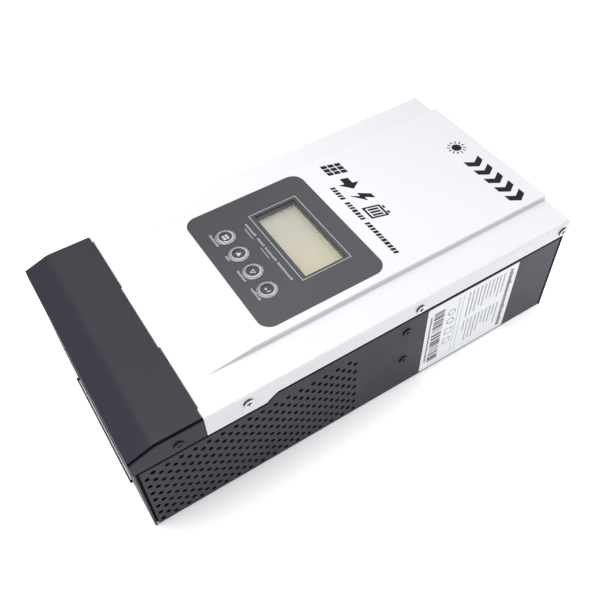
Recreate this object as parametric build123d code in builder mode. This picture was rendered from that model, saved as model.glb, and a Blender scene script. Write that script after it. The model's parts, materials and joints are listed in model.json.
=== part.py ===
from build123d import *
import os

os.makedirs("parts", exist_ok=True)

# A wall-mounted solar charge controller, lying on its back.
# +Z is the outward normal of its front, X runs along its length: the terminal
# end is at -X and the fan end at +X.  Lengths are in millimetres.

# ------------------------------------------------------------------ driving dimensions
TRAY_LENGTH = 315.0        # sheet-metal body, terminal end to fan end
COVER_WIDTH = 165.0        # over the flanges of the two covers
SHOULDER_Z = 87.7          # flat sides of the front cover
PLATEAU_RISE = 3.9         # raised middle of the front cover
TAB_REACH = 2.4            # hanging tab beyond the terminal end
FAN_HEAD_REACH = 1.7       # fan screw heads beyond the fan end
SHEET = 1.2                # tray, end panels and covers
FLANGE_SHEET = 1.0         # cover flanges
BEND_R = 1.8               # outside radius of the front cover's bends
TRAY_BEND_R = 1.4          # outside radius of the tray's bends
SEAM_X = 44.6              # joint between terminal cover and front cover
FLANGE_LOW_Z = 70.0        # lower edge of the flanges beside the terminals
FLANGE_HIGH_Z = 75.5       # lower edge of the front cover's flanges elsewhere
VENT_PITCH_X = 8.75        # perforation columns
VENT_PITCH_Z = 8.6         # perforation rows
VENT_D = 3.2
FIT_GAP = 0.05             # between sheets that lie on each other
FLANGE_GAP = 0.3           # between the cover flanges and the tray's walls
RUNNING_GAP = 0.3          # between a button and its hole

# ------------------------------------------------------------------ derived places
END_X = -(TRAY_LENGTH + FAN_HEAD_REACH - TAB_REACH) / 2      # terminal end of the tray
TRAY_WIDTH = COVER_WIDTH - 2 * (FLANGE_SHEET + FLANGE_GAP)
INNER_WIDTH = TRAY_WIDTH - 2 * SHEET
PLATEAU_Z = SHOULDER_Z + PLATEAU_RISE
PLATEAU_UNDER_Z = PLATEAU_Z - SHEET


def from_end(distance):
    """X of a point that far from the tray's terminal end."""
    return END_X + distance


def block(x_range, y_range, z_range, mode=Mode.ADD):
    """A box of the part being built, between limits; X counts from the terminal end."""
    size = [high - low for low, high in (x_range, y_range, z_range)]
    middle = [(low + high) / 2 for low, high in (x_range, y_range, z_range)]
    with Locations((from_end(middle[0]), middle[1], middle[2])):
        Box(*size, mode=mode)


def pan_screw(head_d, head_h, shank_d, shank_length):
    """A cross-recessed pan-head screw: its head stands on z = 0, its shank hangs below."""
    recess_w = 0.16 * head_d
    recess_l = 0.55 * head_d
    with BuildPart() as screw:
        Cylinder(head_d / 2, head_h, align=(Align.CENTER, Align.CENTER, Align.MIN))
        fillet(screw.edges().group_by(Axis.Z)[-1], 0.42 * head_h)
        Cylinder(shank_d / 2, shank_length, align=(Align.CENTER, Align.CENTER, Align.MAX))
        with BuildSketch(Plane.XY.offset(head_h)):
            Rectangle(recess_l, recess_w)
            Rectangle(recess_w, recess_l)
        extrude(amount=-0.6 * head_h, mode=Mode.SUBTRACT)
    return screw.part


# ------------------------------------------------------------------ base tray
TRAY_START = 2.0           # the tray stops short of both end panels' faces
TRAY_END = TRAY_LENGTH - 1.5
WALL_TOP = 84.5            # walls rise inside the cover flanges
TAB_WIDTH = 93.4
TAB_BAR = 0.8
TAB_SLOT = 1.5
VENT_COLUMNS = 17
VENT_ROWS = 7
VENT_MID_X = 75.15
VENT_MID_Z = 30.9
SCREW_HOLE_R = 2.15
COVER_SCREW_X = (71.0, 191.5, 309.6)
COVER_SCREW_Z = 80.3
TERMINAL_SCREW_X = 27.3
TERMINAL_SCREW_Z = 76.5
BRACKET_SCREW_X = 184.2
BRACKET_SCREW_Z = (30.8, 60.5)
KEYHOLE_X = 286.0
KEYHOLE_Y = 45.0
KEYHOLE_R = 4.5
KEYHOLE_SLOT_R = 2.0
KEYHOLE_REACH = 11.0
LOWER_FIX_X = 6.5
LOWER_FIX_Y = 62.0
LOWER_FIX_R = 2.6
SLOPE_CLEAR_X = 13.0
SLOPE_CLEAR_Z = 80.8

with BuildPart() as base_tray:
    with BuildSketch(Plane.YZ.offset(from_end(TRAY_START))):
        with Locations((0, WALL_TOP)):
            RectangleRounded(TRAY_WIDTH, 2 * WALL_TOP, TRAY_BEND_R)
            RectangleRounded(INNER_WIDTH, 2 * (WALL_TOP - SHEET), TRAY_BEND_R - SHEET,
                             mode=Mode.SUBTRACT)
        with Locations((0, 1.5 * WALL_TOP)):
            Rectangle(TRAY_WIDTH, WALL_TOP, mode=Mode.SUBTRACT)
    extrude(amount=TRAY_END - TRAY_START)
    # the walls stop below the sloping front of the terminal cover
    block((0, SLOPE_CLEAR_X), (-COVER_WIDTH / 2, COVER_WIDTH / 2), (SLOPE_CLEAR_Z, WALL_TOP),
          mode=Mode.SUBTRACT)
    # two interleaved grids of holes through both walls
    with BuildSketch(Plane.XZ):
        with Locations((from_end(VENT_MID_X), VENT_MID_Z)):
            with GridLocations(VENT_PITCH_X, VENT_PITCH_Z, VENT_COLUMNS, VENT_ROWS):
                Circle(VENT_D / 2)
        with Locations((from_end(VENT_MID_X), VENT_MID_Z + VENT_PITCH_Z / 2)):
            with GridLocations(VENT_PITCH_X, VENT_PITCH_Z, VENT_COLUMNS - 1, VENT_ROWS):
                Circle(VENT_D / 2)
    extrude(amount=COVER_WIDTH / 2, both=True, mode=Mode.SUBTRACT)
    # screw holes through both walls
    with BuildSketch(Plane.XZ):
        with Locations(*[(from_end(x), COVER_SCREW_Z) for x in COVER_SCREW_X],
                       (from_end(TERMINAL_SCREW_X), TERMINAL_SCREW_Z),
                       *[(from_end(BRACKET_SCREW_X), z) for z in BRACKET_SCREW_Z]):
            Circle(SCREW_HOLE_R)
    extrude(amount=COVER_WIDTH / 2, both=True, mode=Mode.SUBTRACT)
    # hanging keyholes at the fan end and plain holes at the terminal end
    with BuildSketch(Plane.XY):
        with Locations((from_end(KEYHOLE_X), KEYHOLE_Y), (from_end(KEYHOLE_X), -KEYHOLE_Y)):
            Circle(KEYHOLE_R)
            with Locations((KEYHOLE_REACH / 2, 0)):
                SlotOverall(KEYHOLE_REACH + 2 * KEYHOLE_SLOT_R, 2 * KEYHOLE_SLOT_R)
        with Locations((from_end(LOWER_FIX_X), LOWER_FIX_Y), (from_end(LOWER_FIX_X), -LOWER_FIX_Y)):
            Circle(LOWER_FIX_R)
    extrude(amount=SHEET, mode=Mode.SUBTRACT)
    # slotted hanging tab
    with BuildSketch(Plane.XY):
        with Locations((from_end(-TAB_REACH), 0)):
            Rectangle(TAB_REACH + TRAY_START, TAB_WIDTH, align=(Align.MIN, Align.CENTER))
        with Locations((from_end(TAB_BAR - TAB_REACH), 0)):
            Rectangle(TAB_SLOT, TAB_WIDTH - 2 * TAB_SLOT, align=(Align.MIN, Align.CENTER),
                      mode=Mode.SUBTRACT)
    extrude(amount=SHEET)
base_tray.part.label = "base_tray"
export_step(base_tray.part, "parts/base_tray.step")

# ------------------------------------------------------------------ terminal end panel
PANEL_FACE_X = -0.8        # outer face of the terminal end panel
PANEL_TOP = FLANGE_LOW_Z - 0.3
PANEL_FLANGE = 11.0
BEND_CLEAR_Z = 2.0         # inner flanges start above the tray's bends
CABLE_SLOT_LENGTH = 84.0
CABLE_SLOT_HEIGHT = 24.0
CABLE_SLOT_Z = 30.0
JACK_Y = 62.0
JACK_Z = 30.0
JACK_WIDTH = 16.0
JACK_HEIGHT = 14.0

with BuildPart() as terminal_end_panel:
    with BuildSketch(Plane.XY):
        with Locations((from_end(PANEL_FACE_X), 0)):
            Rectangle(SHEET, TRAY_WIDTH, align=(Align.MIN, Align.CENTER))
        with Locations((from_end(PANEL_FACE_X), 0)):
            Rectangle(PANEL_FLANGE, INNER_WIDTH - 2 * FIT_GAP, align=(Align.MIN, Align.CENTER))
        with Locations((from_end(PANEL_FACE_X) + SHEET, 0)):
            Rectangle(PANEL_FLANGE, INNER_WIDTH - 2 * (SHEET + FIT_GAP),
                      align=(Align.MIN, Align.CENTER), mode=Mode.SUBTRACT)
    extrude(amount=PANEL_TOP)
    fillet(terminal_end_panel.edges().filter_by(Axis.Z).group_by(Axis.X)[0], 0.9)
    # room for the tray's bottom sheet and for the hanging tab
    block((SHEET + PANEL_FACE_X, PANEL_FLANGE), (-COVER_WIDTH / 2, COVER_WIDTH / 2),
          (0, BEND_CLEAR_Z), mode=Mode.SUBTRACT)
    block((-TAB_REACH, PANEL_FLANGE), (-TAB_WIDTH / 2 - 0.5, TAB_WIDTH / 2 + 0.5),
          (0, SHEET + FIT_GAP), mode=Mode.SUBTRACT)
    with BuildSketch(Plane.YZ.offset(from_end(PANEL_FACE_X))):
        with Locations((0, CABLE_SLOT_Z)):
            RectangleRounded(CABLE_SLOT_LENGTH, CABLE_SLOT_HEIGHT, 5.0)
        with Locations((JACK_Y, JACK_Z)):
            Rectangle(JACK_WIDTH + 0.4, JACK_HEIGHT + 0.4)
    extrude(amount=SHEET, mode=Mode.SUBTRACT)
terminal_end_panel.part.label = "terminal_end_panel"
export_step(terminal_end_panel.part, "parts/terminal_end_panel.step")

# rubber edging of the cable slot: a neck in the slot between two lips
LIP = 2.2
TRIM_WALL = 2.6
TRIM_PROUD = 0.35          # outer lip, nearly flush with the end panel
TRIM_BEHIND = 0.9          # inner lip
with BuildPart() as cable_slot_trim:
    with BuildSketch(Plane.YZ.offset(from_end(PANEL_FACE_X - TRIM_PROUD))):
        with Locations((0, CABLE_SLOT_Z)):
            RectangleRounded(CABLE_SLOT_LENGTH + 2 * LIP, CABLE_SLOT_HEIGHT + 2 * LIP, 6.5)
    extrude(amount=TRIM_PROUD + SHEET + TRIM_BEHIND)
    with BuildSketch(Plane.YZ.offset(from_end(PANEL_FACE_X) - FIT_GAP)):
        with Locations((0, CABLE_SLOT_Z)):
            RectangleRounded(CABLE_SLOT_LENGTH + 4 * LIP, CABLE_SLOT_HEIGHT + 4 * LIP, 6.5)
            RectangleRounded(CABLE_SLOT_LENGTH - 2 * FIT_GAP, CABLE_SLOT_HEIGHT - 2 * FIT_GAP, 5.0,
                             mode=Mode.SUBTRACT)
    extrude(amount=SHEET + 2 * FIT_GAP, mode=Mode.SUBTRACT)
    with BuildSketch(Plane.YZ.offset(from_end(PANEL_FACE_X - TRIM_PROUD))):
        with Locations((0, CABLE_SLOT_Z)):
            RectangleRounded(CABLE_SLOT_LENGTH - 2 * TRIM_WALL, CABLE_SLOT_HEIGHT - 2 * TRIM_WALL, 3.5)
    extrude(amount=TRIM_PROUD + SHEET + TRIM_BEHIND, mode=Mode.SUBTRACT)
cable_slot_trim.part.label = "cable_slot_trim"
export_step(cable_slot_trim.part, "parts/cable_slot_trim.step")

# eight-way data socket: a shell with a deep mouth towards the end panel
JACK_DEPTH = 21.0
with BuildPart() as data_socket:
    block((PANEL_FACE_X + 0.1, JACK_DEPTH), (JACK_Y - JACK_WIDTH / 2, JACK_Y + JACK_WIDTH / 2),
          (JACK_Z - JACK_HEIGHT / 2, JACK_Z + JACK_HEIGHT / 2))
    block((PANEL_FACE_X, JACK_DEPTH - 6), (JACK_Y - 5.9, JACK_Y + 5.9),
          (JACK_Z - 4.6, JACK_Z + 3.4), mode=Mode.SUBTRACT)
    block((PANEL_FACE_X, JACK_DEPTH - 6), (JACK_Y - 3.0, JACK_Y + 3.0),
          (JACK_Z - 5.8, JACK_Z - 4.0), mode=Mode.SUBTRACT)
    # contact springs along the roof of the mouth
    for contact in range(8):
        contact_y = JACK_Y + (contact - 3.5) * 1.02
        block((6, JACK_DEPTH - 6), (contact_y - 0.25, contact_y + 0.25),
              (JACK_Z + 2.7, JACK_Z + 3.4))
data_socket.part.label = "data_socket"
export_step(data_socket.part, "parts/data_socket.step")

# ------------------------------------------------------------------ fan end panel
FAN_SIZE = 60.0
FAN_Y = 37.0
FAN_Z = 38.0
FAN_HOLE_PITCH = 50.0
FAN_SCREW_R = 2.1
FAN_PANEL_X = TRAY_LENGTH - 0.1
GUARD_RINGS = ((8.0, 8), (14.5, 14), (21.0, 20))
GUARD_HOLE_R = 1.9
FAN_CENTRES = ((-FAN_Y, FAN_Z), (FAN_Y, FAN_Z))

with BuildPart() as fan_end_panel:
    with BuildSketch(Plane.XY):
        with Locations((from_end(FAN_PANEL_X), 0)):
            Rectangle(SHEET, TRAY_WIDTH, align=(Align.MAX, Align.CENTER))
        with Locations((from_end(FAN_PANEL_X), 0)):
            Rectangle(PANEL_FLANGE, INNER_WIDTH - 2 * FIT_GAP, align=(Align.MAX, Align.CENTER))
        with Locations((from_end(FAN_PANEL_X) - SHEET, 0)):
            Rectangle(PANEL_FLANGE, INNER_WIDTH - 2 * (SHEET + FIT_GAP),
                      align=(Align.MAX, Align.CENTER), mode=Mode.SUBTRACT)
    extrude(amount=FLANGE_HIGH_Z - 0.3)
    fillet(fan_end_panel.edges().filter_by(Axis.Z).group_by(Axis.X)[-1], 0.3)
    block((FAN_PANEL_X - PANEL_FLANGE, FAN_PANEL_X - SHEET), (-COVER_WIDTH / 2, COVER_WIDTH / 2),
          (0, BEND_CLEAR_Z), mode=Mode.SUBTRACT)
    with BuildSketch(Plane.YZ.offset(from_end(FAN_PANEL_X))):
        with Locations(*FAN_CENTRES):
            Circle(GUARD_HOLE_R)
            for ring_r, ring_count in GUARD_RINGS:
                with PolarLocations(ring_r, ring_count):
                    Circle(GUARD_HOLE_R)
            with GridLocations(FAN_HOLE_PITCH, FAN_HOLE_PITCH, 2, 2):
                Circle(FAN_SCREW_R)
    extrude(amount=-SHEET, mode=Mode.SUBTRACT)
fan_end_panel.part.label = "fan_end_panel"
export_step(fan_end_panel.part, "parts/fan_end_panel.step")

# ------------------------------------------------------------------ front cover
SEAM_STEP = 0.8            # the seam is stepped: two stretches of it lie further back
SEAM_GAP = 0.4
PROUD_Y = ((8.0, 56.0), (111.0, 157.5))     # those stretches, from the near side
FRONT_START = SEAM_X - SEAM_STEP + SEAM_GAP
PLATEAU_HALF = 58.7
RAMP_START = 57.0
RAMP_END = 90.0
NOTCH_X = 83.0
NOTCH_END_X = 89.5
LIP_REACH = 8.0            # tongue of the front cover under the terminal cover
LIP_DROP = SHEET + 0.15
OPENING_GAP = 0.3
BUTTON_X = 117.3
BUTTON_Y = (26.5, 8.83, -8.83, -26.5)
BUTTON_R = 6.9
BUTTON_HOLE_R = BUTTON_R + RUNNING_GAP
PANEL_MID_Y = 0.6          # middle of the control panel
BUTTON_SHIFT_Y = 0.2
WINDOW_X = (142.4, 172.6)
WINDOW_Y = (-30.2, 32.4)
LENS_MARGIN = 2.0
BUTTON_SPOTS = [(from_end(BUTTON_X), y + BUTTON_SHIFT_Y) for y in BUTTON_Y]
WINDOW_MID = (from_end(sum(WINDOW_X) / 2), sum(WINDOW_Y) / 2)
WINDOW_SIZE = (WINDOW_X[1] - WINDOW_X[0], WINDOW_Y[1] - WINDOW_Y[0])
LENS_SIZE = (WINDOW_SIZE[0] + 2 * LENS_MARGIN, WINDOW_SIZE[1] + 2 * LENS_MARGIN)
STUD_X = (105.0, 183.5)
STUD_Y = (-46.0, 47.0)
STUD_SPOTS = [(from_end(x), y) for x in STUD_X for y in STUD_Y]
STUD_R = 3.0
STUD_BORE_R = 1.55
BOARD_UI_Z = 80.0
BOARD_THICK = 1.6


def plateau_profile(top_z, start_x, end_x):
    """Side view of the plateau, from the flush start of its ramp to its end."""
    with BuildSketch(Plane.XZ) as profile:
        with BuildLine():
            Polyline((from_end(start_x), SHOULDER_Z - 3 * SHEET),
                     (from_end(start_x), top_z - PLATEAU_RISE),
                     (from_end(start_x + RAMP_END - RAMP_START), top_z),
                     (from_end(end_x), top_z),
                     (from_end(end_x), SHOULDER_Z - 3 * SHEET),
                     close=True)
        make_face()
    return profile.sketch


with BuildPart() as front_cover:
    block((FRONT_START, TRAY_LENGTH), (-COVER_WIDTH / 2, COVER_WIDTH / 2),
          (FLANGE_LOW_Z, SHOULDER_Z))
    fillet(front_cover.edges().filter_by(Axis.X).group_by(Axis.Z)[-1], BEND_R)
    for low, high in PROUD_Y:
        block((0, SEAM_X + SEAM_GAP), (low - SEAM_GAP - COVER_WIDTH / 2, high + SEAM_GAP - COVER_WIDTH / 2),
              (SHOULDER_Z - 2 * SHEET, SHOULDER_Z), mode=Mode.SUBTRACT)
    extrude(plateau_profile(PLATEAU_Z, RAMP_START, TRAY_LENGTH), amount=PLATEAU_HALF, both=True)
    fillet(front_cover.edges().filter_by(Axis.X).group_by(Axis.Z)[-1], 0.8)
    # hollow inside
    block((0, TRAY_LENGTH - FLANGE_SHEET),
          (-COVER_WIDTH / 2 + FLANGE_SHEET, COVER_WIDTH / 2 - FLANGE_SHEET),
          (0, SHOULDER_Z - SHEET), mode=Mode.SUBTRACT)
    extrude(plateau_profile(PLATEAU_UNDER_Z, RAMP_START + 1.0, TRAY_LENGTH - FLANGE_SHEET),
            amount=PLATEAU_HALF - SHEET, both=True, mode=Mode.SUBTRACT)
    # flange and end flange step up towards the fan end
    with BuildSketch(Plane.XZ):
        with BuildLine():
            corner = FilletPolyline((from_end(NOTCH_X), 0),
                                    (from_end(NOTCH_X), FLANGE_LOW_Z + 0.8),
                                    (from_end(NOTCH_END_X), FLANGE_HIGH_Z),
                                    (from_end(TRAY_LENGTH + 1), FLANGE_HIGH_Z),
                                    radius=(0.8, 5.0))
            Polyline(corner @ 1, (from_end(TRAY_LENGTH + 1), 0), corner @ 0)
        make_face()
    extrude(amount=COVER_WIDTH, both=True, mode=Mode.SUBTRACT)
    # joggled tongue under the terminal cover
    tongue_y = COVER_WIDTH / 2 - 3.0
    block((FRONT_START - LIP_REACH, SEAM_X + 4.0), (-tongue_y, tongue_y),
          (SHOULDER_Z - SHEET - LIP_DROP, SHOULDER_Z - LIP_DROP))
    block((SEAM_X + 1.0, SEAM_X + 4.0), (-tongue_y, tongue_y),
          (SHOULDER_Z - SHEET - LIP_DROP, SHOULDER_Z - SHEET / 2))
    # screw holes, button holes and the display opening
    with BuildSketch(Plane.XZ):
        with Locations(*[(from_end(x), COVER_SCREW_Z) for x in COVER_SCREW_X]):
            Circle(SCREW_HOLE_R)
    extrude(amount=COVER_WIDTH, both=True, mode=Mode.SUBTRACT)
    with BuildSketch(Plane.XY.offset(PLATEAU_Z)):
        with Locations(*BUTTON_SPOTS):
            Circle(BUTTON_HOLE_R)
        with Locations(WINDOW_MID):
            Rectangle(LENS_SIZE[0] + 2 * OPENING_GAP, LENS_SIZE[1] + 2 * OPENING_GAP)
    extrude(amount=-SHEET, mode=Mode.SUBTRACT)
    # four threaded studs that carry the display board
    with BuildSketch(Plane.XY.offset(BOARD_UI_Z + BOARD_THICK)):
        with Locations(*STUD_SPOTS):
            Circle(STUD_R)
            Circle(STUD_BORE_R, mode=Mode.SUBTRACT)
    extrude(amount=PLATEAU_UNDER_Z - BOARD_UI_Z - BOARD_THICK)
front_cover.part.label = "front_cover"
export_step(front_cover.part, "parts/front_cover.step")

# ------------------------------------------------------------------ terminal cover
COVER_FRONT_X = -1.45
SLOPE_TOP_X = 14.9
SLOPE_FRONT_Z = 82.2
SLOPE_BEND_R = 14.0        # wide bend between slope and top
TERMINAL_SIDE_R = 2.6      # bends along both sides


def terminal_profile(inset):
    """Side view of the terminal cover, moved inwards by the inset."""
    with BuildSketch(Plane.XZ) as profile:
        with BuildLine():
            Polyline((from_end(COVER_FRONT_X + inset), FLANGE_LOW_Z - inset),
                     (from_end(COVER_FRONT_X + inset), SLOPE_FRONT_Z - 0.7 * inset),
                     (from_end(SLOPE_TOP_X + 0.2 * inset), SHOULDER_Z - inset),
                     (from_end(SEAM_X - SEAM_STEP + 2 * inset), SHOULDER_Z - inset),
                     (from_end(SEAM_X - SEAM_STEP + 2 * inset), FLANGE_LOW_Z - inset),
                     close=True)
        make_face()
        fillet(profile.vertices().group_by(Axis.Y)[-1].sort_by(Axis.X)[0], SLOPE_BEND_R - inset)
    return profile.sketch


with BuildPart() as terminal_hollow:
    extrude(terminal_profile(FLANGE_SHEET), amount=COVER_WIDTH / 2 - FLANGE_SHEET, both=True)
    fillet(terminal_hollow.edges().filter_by(Axis.X).group_by(Axis.Z)[-1],
           TERMINAL_SIDE_R - FLANGE_SHEET)

with BuildPart() as terminal_cover:
    extrude(terminal_profile(0), amount=COVER_WIDTH / 2, both=True)
    fillet(terminal_cover.edges().filter_by(Axis.X).group_by(Axis.Z)[-1], TERMINAL_SIDE_R)
    add(terminal_hollow.part, mode=Mode.SUBTRACT)
    # the proud stretches of the rear edge are only in the top sheet
    for low, high in PROUD_Y:
        block((SEAM_X - 2.0, SEAM_X), (low - COVER_WIDTH / 2, high - COVER_WIDTH / 2),
              (SHOULDER_Z - FLANGE_SHEET, SHOULDER_Z))
    with BuildSketch(Plane.XZ):
        with Locations((from_end(TERMINAL_SCREW_X), TERMINAL_SCREW_Z)):
            Circle(SCREW_HOLE_R)
    extrude(amount=COVER_WIDTH, both=True, mode=Mode.SUBTRACT)
terminal_cover.part.label = "terminal_cover"
export_step(terminal_cover.part, "parts/terminal_cover.step")

# ------------------------------------------------------------------ screws and nuts in the walls
near_wall = Plane(origin=(0, -COVER_WIDTH / 2, 0), x_dir=(1, 0, 0), z_dir=(0, -1, 0))
near_tray_wall = Plane(origin=(0, -TRAY_WIDTH / 2, 0), x_dir=(1, 0, 0), z_dir=(0, -1, 0))
SCREW_D = 4.0
SCREW_REACH = 7.0
cover_screw = pan_screw(6.4, 1.2, SCREW_D, SCREW_REACH)
side_screw = pan_screw(5.8, 1.0, SCREW_D, SCREW_REACH)

with BuildPart(near_wall) as cover_screws:
    with Locations(*[(from_end(x), COVER_SCREW_Z) for x in COVER_SCREW_X]):
        add(cover_screw)
    mirror(about=Plane.XZ)
cover_screws.part.label = "cover_screws"
export_step(cover_screws.part, "parts/cover_screws.step")

with BuildPart(near_wall) as terminal_cover_screws:
    with Locations((from_end(TERMINAL_SCREW_X), TERMINAL_SCREW_Z)):
        add(side_screw)
    mirror(about=Plane.XZ)
terminal_cover_screws.part.label = "terminal_cover_screws"
export_step(terminal_cover_screws.part, "parts/terminal_cover_screws.step")

with BuildPart(near_tray_wall) as bracket_screws:
    with Locations(*[(from_end(BRACKET_SCREW_X), z) for z in BRACKET_SCREW_Z]):
        add(side_screw)
    mirror(about=Plane.XZ)
bracket_screws.part.label = "bracket_screws"
export_step(bracket_screws.part, "parts/bracket_screws.step")

# clinch nuts behind the walls
NUT_R = 3.2
NUT_BORE_R = SCREW_D / 2 + FIT_GAP
NUT_THICK = 3.0
with BuildPart() as clinch_nuts:
    with BuildSketch(Plane.XZ.offset(INNER_WIDTH / 2 - NUT_THICK)):
        with Locations(*[(from_end(x), COVER_SCREW_Z) for x in COVER_SCREW_X],
                       (from_end(TERMINAL_SCREW_X), TERMINAL_SCREW_Z)):
            Circle(NUT_R)
            Circle(NUT_BORE_R, mode=Mode.SUBTRACT)
    extrude(amount=NUT_THICK)
    mirror(about=Plane.XZ)
clinch_nuts.part.label = "clinch_nuts"
export_step(clinch_nuts.part, "parts/clinch_nuts.step")

# ------------------------------------------------------------------ control panel
OVERLAY_X = (99.8, 188.6)
OVERLAY_WIDTH = 106.6
OVERLAY_THICK = 0.3
OVERLAY_CORNER_R = 8.8
OVERLAY_TOP_Z = PLATEAU_Z + OVERLAY_THICK
LENS_THICK = 1.0
BEZEL_WALL = 6.0
LCD_TOP_Z = 86.4
LCD_THICK = 2.0
BACKLIGHT_UNDER_Z = BOARD_UI_Z + BOARD_THICK + 0.1

with BuildPart() as control_overlay:
    with BuildSketch(Plane.XY.offset(PLATEAU_Z)):
        with Locations((from_end(sum(OVERLAY_X) / 2), PANEL_MID_Y)):
            RectangleRounded(OVERLAY_X[1] - OVERLAY_X[0], OVERLAY_WIDTH, OVERLAY_CORNER_R)
        with Locations(WINDOW_MID):
            RectangleRounded(*WINDOW_SIZE, 0.6, mode=Mode.SUBTRACT)
        with Locations(*BUTTON_SPOTS):
            Circle(BUTTON_HOLE_R, mode=Mode.SUBTRACT)
    extrude(amount=OVERLAY_THICK)
control_overlay.part.label = "control_overlay"
export_step(control_overlay.part, "parts/control_overlay.step")

with BuildPart() as display_lens:
    with BuildSketch(Plane.XY.offset(PLATEAU_Z - FIT_GAP)):
        with Locations(WINDOW_MID):
            Rectangle(*LENS_SIZE)
    extrude(amount=-LENS_THICK)
display_lens.part.label = "display_lens"
export_step(display_lens.part, "parts/display_lens.step")

with BuildPart() as display_bezel:
    with BuildSketch(Plane.XY.offset(LCD_TOP_Z)):
        with Locations(WINDOW_MID):
            Rectangle(WINDOW_SIZE[0] + 2 * BEZEL_WALL, WINDOW_SIZE[1] + 2 * BEZEL_WALL)
            Rectangle(WINDOW_SIZE[0] + 0.4, WINDOW_SIZE[1] + 0.4, mode=Mode.SUBTRACT)
    extrude(amount=PLATEAU_UNDER_Z - FIT_GAP - LCD_TOP_Z)
display_bezel.part.label = "display_bezel"
export_step(display_bezel.part, "parts/display_bezel.step")

with BuildPart() as lcd_glass:
    with BuildSketch(Plane.XY.offset(LCD_TOP_Z - FIT_GAP)):
        with Locations(WINDOW_MID):
            Rectangle(WINDOW_SIZE[0] + 5.0, WINDOW_SIZE[1] + 5.0)
    extrude(amount=-LCD_THICK)
lcd_glass.part.label = "lcd_glass"
export_step(lcd_glass.part, "parts/lcd_glass.step")

with BuildPart() as lcd_backlight:
    with BuildSketch(Plane.XY.offset(BACKLIGHT_UNDER_Z)):
        with Locations(WINDOW_MID):
            Rectangle(WINDOW_SIZE[0] + 5.0, WINDOW_SIZE[1] + 5.0)
    extrude(amount=LCD_TOP_Z - LCD_THICK - 2 * FIT_GAP - BACKLIGHT_UNDER_Z)
lcd_backlight.part.label = "lcd_backlight"
export_step(lcd_backlight.part, "parts/lcd_backlight.step")

UI_BOARD_SIZE = (86.0, 101.0)
UI_SCREW_D = 3.0
with BuildPart() as display_board:
    with BuildSketch(Plane.XY.offset(BOARD_UI_Z)):
        with Locations((from_end(sum(STUD_X) / 2), sum(STUD_Y) / 2)):
            RectangleRounded(*UI_BOARD_SIZE, 2.0)
        with Locations(*STUD_SPOTS):
            Circle(UI_SCREW_D / 2 + 0.15, mode=Mode.SUBTRACT)
    extrude(amount=BOARD_THICK - FIT_GAP)
display_board.part.label = "display_board"
export_step(display_board.part, "parts/display_board.step")

ui_screw = pan_screw(5.6, 1.8, UI_SCREW_D, 7.0)
with BuildPart(Plane(origin=(0, 0, BOARD_UI_Z), x_dir=(1, 0, 0), z_dir=(0, 0, -1))) as display_board_screws:
    with Locations(*[(x, -y) for x, y in STUD_SPOTS]):
        add(ui_screw)
display_board_screws.part.label = "display_board_screws"
export_step(display_board_screws.part, "parts/display_board_screws.step")

# four push buttons: a cap above a switch plunger that slides in a fixed switch body
BUTTON_TOP_R = 5.9
BUTTON_RISE = 0.7
BUTTON_DISH_R = 4.6
BUTTON_DISH_DEPTH = 0.9
CAP_FLANGE_R = 8.2
CAP_FLANGE_THICK = 1.0
CAP_STEM_R = 2.6
BUTTON_TRAVEL = 0.5
SWITCH_SIZE = 6.2
SWITCH_HEIGHT = 3.6
PLUNGER_R = 1.75
PLUNGER_TOP_Z = 87.0
SWITCH_TOP_Z = BOARD_UI_Z + BOARD_THICK + SWITCH_HEIGHT
CAP_TOP_Z = OVERLAY_TOP_Z + BUTTON_RISE

for number, spot in enumerate(BUTTON_SPOTS, start=1):
    with BuildPart() as button_cap:
        with BuildSketch(Plane.XY.offset(PLUNGER_TOP_Z)):
            with Locations(spot):
                Circle(CAP_STEM_R)
        extrude(amount=PLATEAU_UNDER_Z - CAP_FLANGE_THICK - PLUNGER_TOP_Z)
        with BuildSketch(Plane.XY.offset(PLATEAU_UNDER_Z - CAP_FLANGE_THICK - 0.1)):
            with Locations(spot):
                Circle(CAP_FLANGE_R)
        extrude(amount=CAP_FLANGE_THICK)
        with BuildSketch(Plane.XY.offset(PLATEAU_UNDER_Z - 0.1)):
            with Locations(spot):
                Circle(BUTTON_R)
        extrude(amount=OVERLAY_TOP_Z + 0.1 - PLATEAU_UNDER_Z)
        with Locations((*spot, OVERLAY_TOP_Z)):
            Cone(BUTTON_R, BUTTON_TOP_R, BUTTON_RISE, align=(Align.CENTER, Align.CENTER, Align.MIN))
        with BuildSketch(Plane.XY.offset(CAP_TOP_Z)):
            with Locations(spot):
                Circle(BUTTON_DISH_R)
        extrude(amount=-BUTTON_DISH_DEPTH, taper=20, mode=Mode.SUBTRACT)
        fillet(button_cap.edges().filter_by(GeomType.CIRCLE).group_by(Axis.Z)[-1].sort_by(
            SortBy.RADIUS)[-1], 0.35)
    button_cap.part.label = f"button_cap_{number}"
    export_step(button_cap.part, f"parts/button_cap_{number}.step")

    with BuildPart() as switch_plunger:
        with Locations((*spot, PLUNGER_TOP_Z)):
            Cylinder(PLUNGER_R, PLUNGER_TOP_Z - SWITCH_TOP_Z + 1.0,
                     align=(Align.CENTER, Align.CENTER, Align.MAX))
    switch_plunger.part.label = f"switch_plunger_{number}"
    export_step(switch_plunger.part, f"parts/switch_plunger_{number}.step")

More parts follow.
